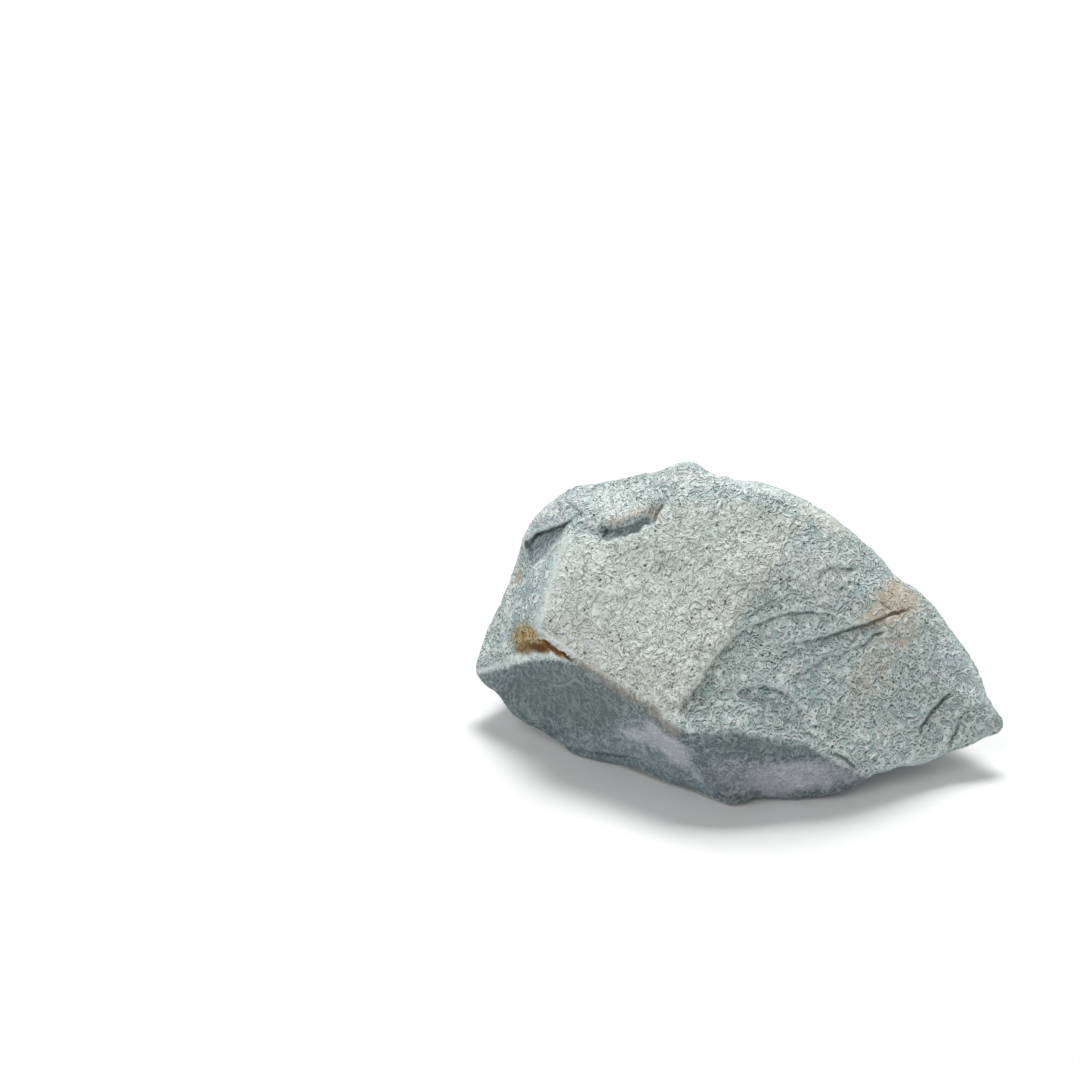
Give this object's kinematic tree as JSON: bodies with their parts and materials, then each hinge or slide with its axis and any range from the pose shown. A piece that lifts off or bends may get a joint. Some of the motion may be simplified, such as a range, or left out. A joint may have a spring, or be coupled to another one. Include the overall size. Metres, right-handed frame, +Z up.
{
  "type": "rough jade stone",
  "caption": "Rough, broken lump of pale grey-green jade with a raised slab face, ledges and worn edges, resting on a small flat.",
  "frame": {"origin": "middle of the stone's footprint box, on the surface it rests on", "axes": "+X along the stone's length, from its left tip to its right tip; +Z up; the broken main face looks towards -Y"},
  "size_m": [0.1224, 0.086, 0.0672],
  "materials": {
    "jade": "matte, finely pitted, worn smooth on the edges"
  },
  "bodies": {
    "root": {"stone": "jade"}
  },
  "joints": []
}
